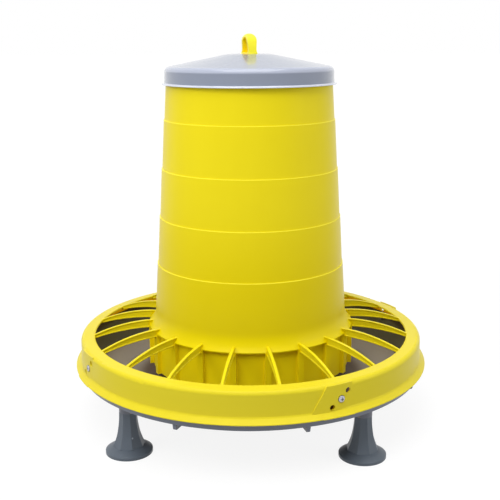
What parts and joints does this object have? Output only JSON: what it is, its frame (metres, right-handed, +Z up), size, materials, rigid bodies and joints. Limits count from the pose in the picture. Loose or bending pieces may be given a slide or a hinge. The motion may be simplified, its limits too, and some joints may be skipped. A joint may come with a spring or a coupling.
{
  "type": "poultry feeder",
  "caption": "Free-standing poultry feeder: tapered hopper moulded in one with a ribbed feeding grille, on a round pan with feet, under a conical lid with a hanging loop.",
  "frame": {"origin": "centre of the object's footprint on the floor, under the hopper's axis", "axes": "+Z up along the hopper's axis, -Y to the front"},
  "size_m": [0.4984, 0.4984, 0.5347],
  "materials": {
    "yellow_plastic": "moulded, satin gloss",
    "lid_plastic": "moulded, glossy",
    "pan_plastic": "moulded, matt",
    "foot_plastic": "moulded, satin",
    "steel": "zinc plated"
  },
  "bodies": {
    "root": {"hopper": "yellow_plastic", "lid": "lid_plastic", "lid_loop": "yellow_plastic", "pan": "pan_plastic", "foot_back_right": "foot_plastic", "screw_back_right": "steel", "nut_back_right": "steel", "foot_back_left": "foot_plastic", "screw_back_left": "steel", "nut_back_left": "steel", "foot_front_left": "foot_plastic", "screw_front_left": "steel", "nut_front_left": "steel", "foot_front_right": "foot_plastic", "screw_front_right": "steel", "nut_front_right": "steel"}
  },
  "joints": []
}
